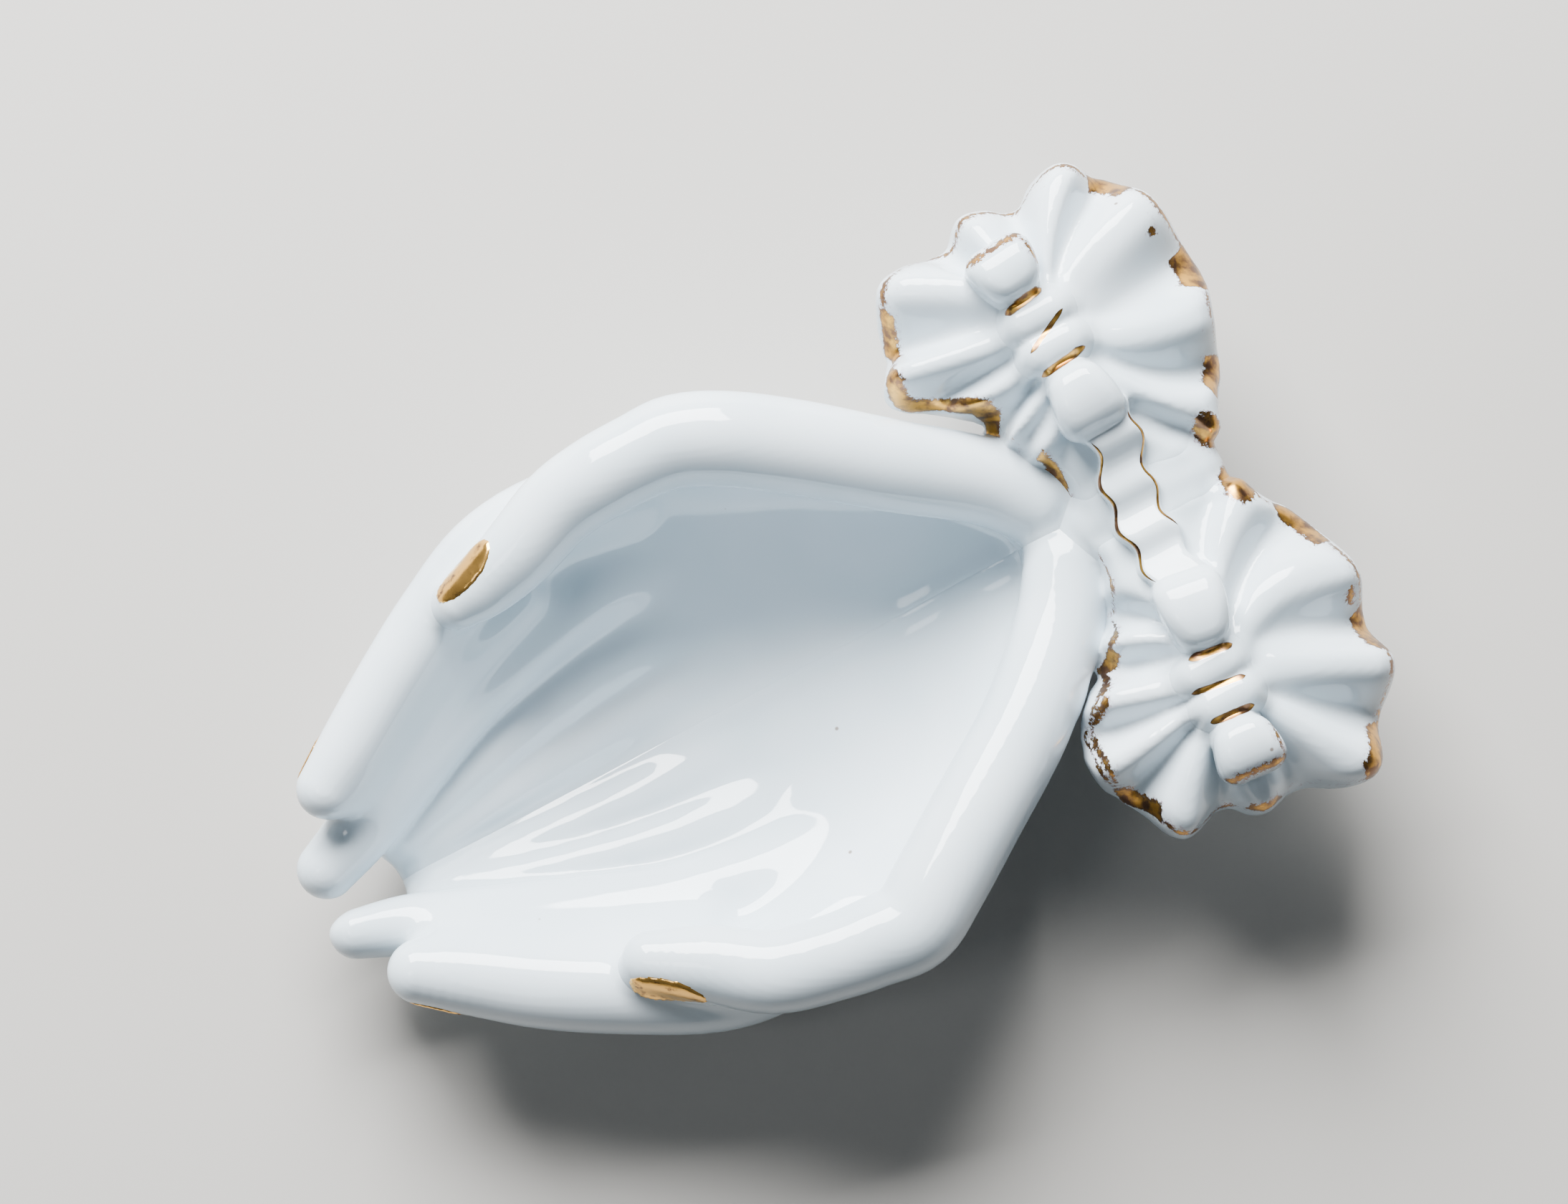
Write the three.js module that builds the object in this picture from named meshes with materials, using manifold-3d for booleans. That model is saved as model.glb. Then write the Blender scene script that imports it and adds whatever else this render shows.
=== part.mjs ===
// Porcelain trinket dish: two cupped hands, palms up, with pleated cuffs tied by a ribbon and two bows.
//
// Sizes are in millimetres and +Z is up. The dish stands on z = 0. In the drawing frame the seam between the
// hands is the plane x = 0, the fingertips point to -Y and the cuffs are at +Y. The finished group is moved
// sideways so that its origin is under the middle of the dish.
//
// The real dish is fired in one piece from clay sections joined with slip. Each section is a mesh of its own
// here, with a joint gap to the next one, and each gilded nail is a thin shell on its fingertip.

import * as THREE from "three";
import { LoftGeometry } from "three/addons/geometries/LoftGeometry.js";
import { RoundedBoxGeometry } from "three/addons/geometries/RoundedBoxGeometry.js";
import { mergeVertices } from "three/addons/utils/BufferGeometryUtils.js";
import Module from "manifold-3d";

const wasm = await Module();
wasm.setup();

// ---------------------------------------------------------------- driving dimensions

const GAP = 0.35; // joint gap between two clay sections
const HALF_SEAM = 0.2; // half of the gap between the two hands
const GILDING = 0.45; // thickness of a gilded nail
const FAR = 90; // half size of the blocks that trim a section
const LIMB_SIDES = 12; // points round a limb
const LIMB_ENDS = [80, 55, 28]; // angles of the rings that round off the ends of a limb
const MERGE = 1e-4; // points nearer to each other than this are one

// Each limb is a list of [x, y, z, radius], from its root to its tip.
const HANDS = {
  right: {
    side: -1,
    thumb: [[-3.6, 43.4, 16.6, 4.5], [-8, 39.6, 17.8, 4.7], [-14, 31.4, 20.4, 4.9], [-19.6, 24.2, 22.4, 5],
      [-23.9, 18, 23.6, 5], [-26.3, 13, 24, 4.9], [-26.8, 8.6, 23.9, 4.6], [-26.8, 3.6, 23.5, 4.5],
      [-26.2, -1.2, 23, 4.3], [-24, -7.2, 22.3, 4], [-22.7, -11.8, 21.7, 3.4], [-22.2, -14.8, 21.2, 2.7]],
    index: [[-25.8, 5, 12.5, 4], [-27, -3, 14.6, 4.3], [-26.4, -10.6, 15.6, 4.1], [-23, -18.2, 16.4, 3.9],
      [-19.2, -24.8, 17, 3.8], [-15, -31.6, 17.4, 3.6], [-11.9, -36.7, 17.6, 3.2]],
    middle: [[-18.8, 6, 5.6, 4], [-18.2, -2, 7.4, 4.1], [-16.8, -9.6, 8.2, 4], [-14.4, -18.9, 9, 3.9],
      [-10.8, -27.8, 10, 3.9], [-6.8, -36.1, 11.2, 3.6], [-4.7, -41.2, 12, 3.2]],
    ring: [[-11.6, 5, 1.6, 4], [-11, -2, 3.4, 4], [-10, -10, 4.2, 3.8], [-8.4, -18, 4.8, 3.6],
      [-6.4, -26, 5.8, 3.4], [-4.6, -33, 7.2, 2.9]],
    little: [[-4.6, 4, 0.8, 3.4], [-4.5, -3, 2.6, 3.3], [-4, -12, 3.4, 3.1], [-3.4, -21, 4.2, 2.9],
      [-2.2, -31.6, 5.8, 2.7]],
  },
  left: {
    side: 1,
    thumb: [[4.2, 43, 16.6, 4.5], [9.6, 39, 17.8, 4.7], [16.6, 31.2, 20.4, 4.9], [22.6, 22, 22.6, 5],
      [27, 15.2, 23.8, 5], [29.4, 11, 24.1, 4.9], [29.2, 6.8, 23.9, 4.7], [28.6, 2.2, 23.5, 4.5],
      [26.9, -4.2, 22.9, 4.4], [23, -9.8, 22.2, 4], [20, -14.8, 21.6, 3.1]],
    index: [[26.2, 5, 12.5, 4.2], [27, -3, 14.2, 4.7], [25.6, -10.4, 15.2, 4.9], [21.2, -19.2, 15.8, 4.8],
      [17.2, -26, 16.2, 4.6], [13.4, -31.4, 16.6, 4.2], [9.6, -37, 17.2, 3.4]],
    middle: [[18.8, 6, 5.6, 4], [17.7, -2, 7.4, 4.1], [15.9, -9.6, 8.2, 4], [12.8, -17.8, 9, 3.9],
      [9.2, -26.3, 10, 3.8], [5.2, -35, 11.2, 3.4], [2.6, -41.4, 12, 3]],
    ring: [[11.6, 5, 1.6, 4], [10.8, -2, 3.4, 4], [9.5, -10, 4.2, 3.8], [7.6, -18, 4.8, 3.6],
      [5.4, -26, 5.8, 3.3], [3.4, -32.6, 7.2, 2.9]],
    little: [[4.6, 4, 0.8, 3.4], [4.5, -3, 2.6, 3.3], [4, -12, 3.4, 3.1], [3.3, -21, 4.2, 2.9],
      [1.8, -31.6, 5.8, 2.7]],
  },
};
const FINGER_NAMES = ["index", "middle", "ring", "little"];

// The palm is a curved shell: [y, rim distance from the seam, rim height, floor height, underside height].
const PALM = [
  [-35, 6, 12, 6.6, 3.6], [-26, 14.6, 13.6, 5, -0.1], [-18, 20.2, 14.2, 4.5, -0.5],
  [-8, 24.2, 15.4, 4.5, -0.5], [2, 26.2, 18, 5.2, -0.5], [12, 26.6, 20, 6.2, -0.5],
  [20, 23.4, 20.4, 7.4, -0.5], [29, 17, 19.2, 9.6, -0.3], [37, 11, 17, 12.4, 2.6],
  [44, 6.6, 15.6, 14.6, 6.4],
];
const RIM = 3.4; // the outside of the palm is this far out from its inner rim
const BOWL_POWER = 2.1; // how steeply the bowl turns up towards its rim
const BACK_POWER = 3.8; // the same for the back of the hand
const BACK_DROP = 1; // the outer edge of the back is this far below the rim
const PALM_STEPS = 9; // points across the bowl
const ROWS_PER_STATION = 2; // rings along the palm for each station

// A gilded nail covers part of a fingertip: [hand, finger, share of the way along it, length, width, facing].
const NAILS = [
  ["right", "thumb", 0.93, 9.4, 4.8, [-0.72, -0.25, 0.65]],
  ["left", "thumb", 0.97, 7.6, 4.4, [0.82, -0.35, 0.42]],
  ["right", "index", 0.95, 6.4, 4, [-0.84, -0.44, -0.25]],
  ["left", "index", 0.95, 6.4, 4, [0.84, -0.44, -0.2]],
  ["right", "middle", 0.96, 5.6, 3.6, [-0.3, -0.3, -0.9]],
  ["left", "middle", 0.96, 5.6, 3.6, [0.3, -0.3, -0.9]],
];
const NAIL_FACETS = [12, 8]; // facets round the ellipsoid that cuts out a nail, and over its height

// A cuff is a fan of pleats round its knot. Its outline is [angle, radius] from the knot and its folds are
// [angle, height]: 1 on a crest and -1 in a valley. Angles are in degrees from +X towards +Y. inner is the x
// at which the cuff ends beside the yoke.
const CUFFS = {
  right: {
    knot: [-19.3, 53.1],
    inner: -1.8,
    outline: [[25, 23], [34, 20], [47, 19], [64, 17.2], [84, 17.2], [100, 16.8], [122, 17.1], [138, 17],
      [149, 17.4], [158, 15.2], [165, 13], [180, 13.7], [192, 14.2], [205, 13.1], [220, 16.9], [230, 18.2],
      [239, 17.9], [256, 17.4], [271, 18], [278, 15.4], [290, 12.9], [306, 12.6], [320, 13.8], [339, 17.4],
      [347, 21.4]],
    folds: [[8, -0.2], [19, -0.9], [27, 0.9], [43, -1], [63, 1], [87, -1.1], [112, 1], [131, -1], [145, 1],
      [169, -1], [190, 0.3], [212, -1], [229, 1], [252, -0.9], [262, 1], [275, -0.8], [284, 0.7], [295, -0.9],
      [311, 0.9], [334, -0.4]],
  },
  left: {
    knot: [22.4, 51.6],
    inner: 6,
    outline: [[11, 14.3], [23, 17.2], [28, 18.1], [48, 17.1], [59, 17.4], [71, 17.5], [82, 16.5], [104, 18.1],
      [118, 18.6], [129, 19.3], [144, 20.2], [152, 22.8], [193, 21.4], [197, 18], [207, 14.5], [230, 12.7],
      [247, 13.4], [263, 15.6], [285, 16.5], [302, 16], [318, 16.7], [332, 13.4], [346, 14.2]],
    folds: [[4, -0.9], [29, 1], [49, -1.1], [68, 1], [85, -1.1], [108, 1], [134, -0.9], [151, 0.9],
      [162, -0.5], [190, 0], [203, 0.8], [218, -0.8], [228, 0.8], [240, -0.9], [251, 1], [265, -0.9],
      [279, 1], [293, -1], [314, 1], [334, -0.9], [351, 0.3]],
  },
};
const CUFF_TOP = 26; // height of the pleats beside the knot
const CUFF_FALL = 4.4; // the outer edge lies this much lower
const CUFF_UNDER = 10.5; // height of the underside
const CUFF_FOOT = 0.5; // the underside reaches this share of the outline
// The side of a cuff is rings of [share of the outline, height below the edge, share of the pleats], and its
// top is rings that reach these shares of the outline.
const CUFF_SIDE_RINGS = [[0.84, 7.1, 0.25], [0.96, 5.5, 0.5], [1, 2.8, 0.75], [1, 0.9, 1]];
const CUFF_TOP_RINGS = [0.94, 0.78, 0.58, 0.36];
const CUFF_HUB = 0.16; // the flat middle of the top
const PLEAT = 1.5; // a crest stands this far above the mean surface at the outer edge
const CUFF_SPOKES = 72; // points round a ring

// The yoke joins both wrists and both cuffs: a neck between the cuffs and a stub under each of them.
const YOKE_LIMBS = [
  [[2, 48.5, 17.6, 4.6], [2, 53, 19.2, 5], [1.6, 58.4, 19, 4.3]],
  [[-2.5, 46.5, 11, 4], [-6, 48.8, 10.6, 4.4], [-10, 51.4, 11.4, 3.8]],
  [[5, 46.5, 11, 4], [9, 48.8, 10.6, 4.4], [13, 51.2, 11.4, 3.8]],
];

// A bow is [x, y, z, radius] stations for each loop, from the knot outwards, and a box for the knot.
const BOWS = {
  right: {
    knot: { middle: [-18.1, 51.8, 26.4], size: [7.2, 7.4, 5] },
    outer_loop: [[-22.9, 51.4, 27.4, 2.7], [-24.4, 51.2, 27.3, 3.6], [-25.5, 51.1, 27, 3.5]],
    inner_loop: [[-13.4, 51.9, 27.4, 2.8], [-11.2, 52, 27.3, 4.1], [-9.8, 52, 27, 3.7]],
  },
  left: {
    knot: { middle: [22.4, 50.3, 26.4], size: [7, 7.4, 5] },
    outer_loop: [[26.6, 49.9, 27.4, 2.7], [28.2, 49.7, 27.3, 3.6], [29.3, 49.6, 27, 3.5]],
    inner_loop: [[18, 51, 27.4, 2.8], [15.6, 51.4, 27.3, 4.1], [14, 51.7, 27, 3.8]],
  },
};
const BOW_PARTS = ["outer_loop", "knot", "inner_loop"];
const LOOP_STEPS = 2; // rings between two stations of a loop
const LOOP_SQUASH = 0.8; // a loop is this much flatter than wide
const KNOT_ROUND = 2.2; // radius of the edges of a knot
const KNOT_FACETS = 2; // steps round such an edge
const CREASE = { radius: 0.6, length: 4.6, sides: 8 }; // the groove down the middle of a knot

// The ribbon is a rippled band between the two inner loops: [x, y] stations of its middle line.
const RIBBON = [[-8.4, 53.2], [-5.6, 53.2], [-1.6, 52.2], [2.4, 51.6], [5.6, 51.6], [11.6, 51.9]];
const RIBBON_TOP = 27;
const RIBBON_THICK = 2;
const RIBBON_CORNER = 0.6; // bevel along the top edges
const RIBBON_HALF = 2.8; // half of its width
const RIPPLES = 3;
const RIPPLE = 0.45; // height of a ripple above and below the mean
const RIBBON_STEPS = 24;

// ---------------------------------------------------------------- materials

const porcelain = new THREE.MeshStandardMaterial({ color: 0xe9eef0, roughness: 0.08, metalness: 0 });
const lustre = new THREE.MeshStandardMaterial({ color: 0xc58a3a, roughness: 0.22, metalness: 1 });

// ---------------------------------------------------------------- helpers

const { degToRad, clamp, lerp } = THREE.MathUtils;

// A closed geometry as a manifold solid.
function solid(geometry) {
  const bare = new THREE.BufferGeometry();
  bare.setAttribute("position", geometry.attributes.position);
  bare.setIndex(geometry.index);
  const merged = mergeVertices(bare, MERGE);
  return new wasm.Manifold(new wasm.Mesh({
    numProp: 3,
    vertProperties: new Float32Array(merged.attributes.position.array),
    triVerts: new Uint32Array(merged.index.array),
  }));
}

// The largest connected body of a solid.
function main(body) {
  return body.decompose().reduce((best, piece) => (piece.volume() > best.volume() ? piece : best));
}

// A manifold solid as a named mesh.
function section(name, body, material) {
  const { vertProperties, triVerts } = main(body).getMesh();
  const geometry = new THREE.BufferGeometry();
  geometry.setAttribute("position", new THREE.BufferAttribute(vertProperties, 3));
  geometry.setIndex(new THREE.BufferAttribute(triVerts, 1));
  geometry.computeVertexNormals();
  const mesh = new THREE.Mesh(geometry, material);
  mesh.name = name;
  return mesh;
}

// A block that fills one side of a plane: axis is 0, 1 or 2 and way is the side of the plane that it fills.
function beyond(axis, place, way) {
  const block = new THREE.BoxGeometry(2 * FAR, 2 * FAR, 2 * FAR);
  const middle = new THREE.Vector3().setComponent(axis, place + way * FAR);
  block.translate(middle.x, middle.y, middle.z);
  return solid(block);
}

// Smooth values at a place from a list of [place, value, value, ...] stations.
function along(stations, place) {
  const last = stations.length - 1;
  const i = clamp(stations.findIndex((station) => station[0] > place) - 1, -1, last - 1);
  const start = i < 0 ? (place <= stations[0][0] ? 0 : last - 1) : i;
  const [a, b] = [stations[start], stations[start + 1]];
  const reach = b[0] - a[0];
  const t = clamp((place - a[0]) / reach, 0, 1);
  const slope = (j, k) => {
    const [before, after] = [stations[Math.max(0, j - 1)], stations[Math.min(last, j + 1)]];
    return ((after[k] - before[k]) / (after[0] - before[0])) * reach;
  };
  return a.slice(1).map((value, column) => {
    const k = column + 1;
    const rise = (2 * t ** 3 - 3 * t ** 2 + 1) * value + (3 * t ** 2 - 2 * t ** 3) * b[k];
    return rise + (t ** 3 - 2 * t ** 2 + t) * slope(start, k) + (t ** 3 - t ** 2) * slope(start + 1, k);
  });
}

// A list of [angle, value] stations that runs on past both ends of the circle.
function around(stations) {
  const shifted = (turn) => stations.map(([angle, ...values]) => [angle + turn, ...values]);
  return [...shifted(-360), ...stations, ...shifted(360)];
}

// The middle line of a limb and its radius at a share of the way along it.
function spine(limb) {
  const points = limb.map(([x, y, z]) => new THREE.Vector3(x, y, z));
  const curve = new THREE.CatmullRomCurve3(points);
  const radii = limb.map((station, i) => [i / (limb.length - 1), station[3]]);
  return { curve, radius: (share) => along(radii, share)[0] };
}

// A tapered limb with round ends. grow makes it fatter all over and squash makes it flatter than wide.
function limbSolid(limb, grow = 0, squash = 1, stepsPerStation = 1) {
  const { curve, radius } = spine(limb);
  const sections = [];
  const addRing = (share, forwardOffset, size) => {
    const forward = curve.getTangent(share);
    const across = new THREE.Vector3(0, 0, 1).cross(forward).normalize();
    const upward = new THREE.Vector3().crossVectors(forward, across);
    const middle = curve.getPoint(share).addScaledVector(forward, forwardOffset);
    sections.push(Array.from({ length: LIMB_SIDES }, (_, i) => {
      const turn = (2 * Math.PI * i) / LIMB_SIDES;
      const point = middle.clone().addScaledVector(across, size * Math.cos(turn));
      return point.addScaledVector(upward, size * squash * Math.sin(turn));
    }));
  };
  const roundEnd = LIMB_ENDS.map(degToRad);
  const [rootSize, tipSize] = [radius(0) + grow, radius(1) + grow];
  roundEnd.forEach((angle) => addRing(0, -rootSize * Math.sin(angle), rootSize * Math.cos(angle)));
  const steps = stepsPerStation * (limb.length - 1);
  for (let i = 0; i <= steps; i++) addRing(i / steps, 0, radius(i / steps) + grow);
  roundEnd.reverse().forEach((angle) => addRing(1, tipSize * Math.sin(angle), tipSize * Math.cos(angle)));
  return solid(new LoftGeometry(sections, { capStart: true, capEnd: true }));
}

// ---------------------------------------------------------------- hands

// The curved shell of one palm, on the +X side of the seam.
function palmSolid() {
  const shares = Array.from({ length: PALM_STEPS }, (_, i) => i / (PALM_STEPS - 1));
  const [first, last] = [PALM[0][0], PALM[PALM.length - 1][0]];
  const rows = ROWS_PER_STATION * PALM.length;
  const sections = Array.from({ length: rows + 1 }, (_, row) => {
    const y = lerp(first, last, row / rows);
    const [rim, rimHeight, floor, under] = along(PALM, y);
    const bowl = shares.map((t) => {
      const height = floor + (rimHeight - floor) * t ** BOWL_POWER;
      return new THREE.Vector3(rim * t, y, height);
    });
    const back = shares.map((t) => {
      const height = under + (rimHeight - BACK_DROP - under) * t ** BACK_POWER;
      return new THREE.Vector3((rim + RIM) * t, y, height);
    });
    return [...back.reverse(), ...bowl];
  });
  return solid(new LoftGeometry(sections, { capStart: true, capEnd: true }));
}

function handSolid(hand) {
  const palm = hand.side > 0 ? palmSolid() : palmSolid().mirror([1, 0, 0]);
  const fingers = FINGER_NAMES.map((finger) => limbSolid(hand[finger]));
  return fingers.reduce((body, finger) => body.add(finger), palm)
    .subtract(beyond(0, hand.side * HALF_SEAM, -hand.side))
    .subtract(beyond(2, 0, -1));
}

// A thin gilded shell over the part of a fingertip that faces the given way.
function nailSolid(hand, finger, share, length, width, facing) {
  const limb = HANDS[hand][finger];
  const { curve, radius } = spine(limb);
  const way = new THREE.Vector3(...facing).normalize();
  const forward = curve.getTangent(share);
  const across = new THREE.Vector3().crossVectors(way, forward).normalize();
  const outward = new THREE.Vector3().crossVectors(forward, across).normalize();
  const patch = new THREE.SphereGeometry(0.5, ...NAIL_FACETS);
  patch.scale(length, width, 2 * radius(share));
  patch.applyMatrix4(new THREE.Matrix4().makeBasis(forward, across, outward));
  const middle = curve.getPoint(share).addScaledVector(outward, radius(share) + GAP);
  patch.translate(middle.x, middle.y, middle.z);
  return limbSolid(limb, GAP + GILDING).subtract(limbSolid(limb, GAP)).intersect(solid(patch));
}

// ---------------------------------------------------------------- cuffs and yoke

function cuffSolid(name, grow = 0) {
  const { knot, outline, folds, inner } = CUFFS[name];
  const outlineStations = around(outline);
  const foldStations = around(folds);
  const edge = CUFF_TOP - CUFF_FALL;
  const rings = [
    [CUFF_FOOT, CUFF_UNDER - grow, 0],
    ...CUFF_SIDE_RINGS.map(([share, below, pleats]) => [share, edge - below, PLEAT * pleats]),
    ...CUFF_TOP_RINGS.map((share) => [share, CUFF_TOP - CUFF_FALL * share ** 2 + grow, PLEAT * share]),
    [CUFF_HUB, CUFF_TOP + grow, 0],
  ];
  const angles = Array.from({ length: CUFF_SPOKES }, (_, i) => (360 * i) / CUFF_SPOKES);
  const sections = rings.map(([share, height, lift]) => angles.map((angle) => {
    const reach = along(outlineStations, angle)[0] * share + grow;
    const x = knot[0] + reach * Math.cos(degToRad(angle));
    const y = knot[1] + reach * Math.sin(degToRad(angle));
    return new THREE.Vector3(x, y, height + lift * along(foldStations, angle)[0]);
  }));
  const side = HANDS[name].side;
  return solid(new LoftGeometry(sections, { capStart: true, capEnd: true }))
    .subtract(beyond(0, inner - side * grow, -side));
}

function yokeSolid() {
  const wristEnd = PALM[PALM.length - 1][0] + GAP;
  const whole = YOKE_LIMBS.map((limb) => limbSolid(limb)).reduce((body, limb) => body.add(limb));
  return whole.subtract(beyond(1, wristEnd, -1));
}

// ---------------------------------------------------------------- bows and ribbon

function knotSolid({ middle, size }, grow = 0) {
  const [width, depth, height] = size.map((value) => value + 2 * grow);
  const block = new RoundedBoxGeometry(width, depth, height, KNOT_FACETS, KNOT_ROUND);
  const crease = new THREE.CylinderGeometry(CREASE.radius, CREASE.radius, CREASE.length, CREASE.sides);
  crease.translate(0, 0, height / 2);
  const body = grow > 0 ? solid(block) : solid(block).subtract(solid(crease));
  return body.translate(middle);
}

function ribbonSolid() {
  const curve = new THREE.CatmullRomCurve3(RIBBON.map(([x, y]) => new THREE.Vector3(x, y, 0)));
  const sections = Array.from({ length: RIBBON_STEPS + 1 }, (_, i) => {
    const share = i / RIBBON_STEPS;
    const forward = curve.getTangent(share);
    const across = new THREE.Vector3(-forward.y, forward.x, 0).normalize();
    const top = RIBBON_TOP + RIPPLE * Math.sin(2 * Math.PI * RIPPLES * share);
    const middle = curve.getPoint(share);
    const bottom = top - RIBBON_THICK;
    const shoulder = top - RIBBON_CORNER;
    const flat = RIBBON_HALF - RIBBON_CORNER;
    const profile = [
      [-RIBBON_HALF, bottom], [RIBBON_HALF, bottom], [RIBBON_HALF, shoulder],
      [flat, top], [-flat, top], [-RIBBON_HALF, shoulder],
    ];
    return profile.map(([offset, height]) => middle.clone().addScaledVector(across, offset).setZ(height));
  });
  return solid(new LoftGeometry(sections, { capStart: true, capEnd: true }));
}

// ---------------------------------------------------------------- assembly

const dish = new THREE.Group();
dish.name = "cupped_hands_dish";

const grownCuffs = Object.keys(CUFFS).map((name) => cuffSolid(name, GAP));
const clearOf = (body, cutters) => cutters.reduce((rest, cutter) => rest.subtract(cutter), body);

for (const [name, hand] of Object.entries(HANDS)) {
  const grownThumb = limbSolid(hand.thumb, GAP);
  const otherHalf = beyond(0, hand.side * HALF_SEAM, -hand.side);
  dish.add(section(`${name}_hand`, clearOf(handSolid(hand), [grownThumb, ...grownCuffs]), porcelain));
  dish.add(section(`${name}_thumb`, clearOf(limbSolid(hand.thumb), [otherHalf, ...grownCuffs]), porcelain));
  dish.add(section(`${name}_cuff_ruffle`, cuffSolid(name), porcelain));
}

const grownThumbs = Object.values(HANDS).map((hand) => limbSolid(hand.thumb, GAP));
dish.add(section("wrist_yoke", clearOf(yokeSolid(), [...grownThumbs, ...grownCuffs]), porcelain));

for (const [name, bow] of Object.entries(BOWS)) {
  const grownKnot = knotSolid(bow.knot, GAP);
  for (const part of BOW_PARTS) {
    const isKnot = part === "knot";
    const body = isKnot ? knotSolid(bow.knot) : limbSolid(bow[part], 0, LOOP_SQUASH, LOOP_STEPS);
    const cutters = isKnot ? grownCuffs : [grownKnot, ...grownCuffs];
    dish.add(section(`${name}_bow_${part}`, clearOf(body, cutters), porcelain));
  }
}

const innerLoops = Object.values(BOWS).map((bow) => bow.inner_loop);
const grownLoops = innerLoops.map((loop) => limbSolid(loop, GAP, LOOP_SQUASH, LOOP_STEPS));
const raisedYoke = yokeSolid().translate([0, 0, GAP]);
const band = clearOf(ribbonSolid(), [...grownLoops, ...grownCuffs, raisedYoke]);
dish.add(section("ribbon_band", band, porcelain));

for (const [hand, finger, ...patch] of NAILS) {
  dish.add(section(`${hand}_${finger}_nail_gilding`, nailSolid(hand, finger, ...patch), lustre));
}

// The origin goes under the middle of the dish.
const box = new THREE.Box3().setFromObject(dish);
const middle = box.getCenter(new THREE.Vector3());
for (const mesh of dish.children) mesh.geometry.translate(-middle.x, -middle.y, 0);

export default dish;
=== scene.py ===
"""A glazed porcelain trinket dish: two cupped hands, pleated cuffs, a ribbon and two bows, with gold lustre.

The dish is one fired body. Each of its clay sections is a piece of its own here. All of them are cut from one
smooth distance field, so neighbours flow into each other as the glaze makes them do. The shapes are given in
millimetres in the dish's own drawing frame: the seam between the hands is x = 0, the fingertips point to -y,
and the table is z = 0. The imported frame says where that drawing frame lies.
"""

import math

import bpy
import numpy as np
import openvdb
from mathutils import Matrix, Vector


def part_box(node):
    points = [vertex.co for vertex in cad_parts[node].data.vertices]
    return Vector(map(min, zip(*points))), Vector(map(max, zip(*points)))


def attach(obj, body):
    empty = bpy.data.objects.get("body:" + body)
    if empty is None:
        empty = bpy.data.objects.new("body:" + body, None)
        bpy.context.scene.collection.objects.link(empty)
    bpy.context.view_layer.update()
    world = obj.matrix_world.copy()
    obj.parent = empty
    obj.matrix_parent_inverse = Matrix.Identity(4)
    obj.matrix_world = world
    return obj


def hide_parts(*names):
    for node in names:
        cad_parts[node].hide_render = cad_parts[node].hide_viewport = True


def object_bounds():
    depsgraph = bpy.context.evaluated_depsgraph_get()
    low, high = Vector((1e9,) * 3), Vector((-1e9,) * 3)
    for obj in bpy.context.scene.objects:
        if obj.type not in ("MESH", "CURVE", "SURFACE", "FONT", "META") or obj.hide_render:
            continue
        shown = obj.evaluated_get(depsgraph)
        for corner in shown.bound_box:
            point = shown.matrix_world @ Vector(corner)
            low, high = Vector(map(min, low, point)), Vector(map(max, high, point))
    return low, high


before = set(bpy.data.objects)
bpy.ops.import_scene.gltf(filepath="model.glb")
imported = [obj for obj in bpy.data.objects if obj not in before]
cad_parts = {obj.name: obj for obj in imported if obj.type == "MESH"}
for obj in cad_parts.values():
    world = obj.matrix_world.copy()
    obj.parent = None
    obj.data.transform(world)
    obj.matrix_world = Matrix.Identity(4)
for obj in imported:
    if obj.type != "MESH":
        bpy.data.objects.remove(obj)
cad_low, cad_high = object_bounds()

# ------------------------------------------------------------------ place and resolution

MM = 0.001
FINGERTIP_Y = -44.33  # the drawing y of the longest fingertip

right_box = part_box("right_hand")
left_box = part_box("left_hand")
ORIGIN = np.array([
    (right_box[1].x + left_box[0].x) / 2,
    min(right_box[0].y, left_box[0].y) - FINGERTIP_Y * MM,
    cad_low.z,
])

VOXEL = 0.36
LOW = np.array([-37.0, -47.0, -2.0])
HIGH = np.array([42.0, 73.0, 34.0])
FAR = 6.0  # distances are only worked out this near to a shape
COUNTS = np.ceil((HIGH - LOW) / VOXEL).astype(int) + 1
AXES = [(LOW[i] + VOXEL * np.arange(COUNTS[i])).astype(np.float32) for i in range(3)]
GX = AXES[0][:, None, None]
GY = AXES[1][None, :, None]
GZ = AXES[2][None, None, :]

# ------------------------------------------------------------------ shape of the hands

SIDES = {"right": -1, "left": 1}  # the side of the seam that each hand is on

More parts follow.
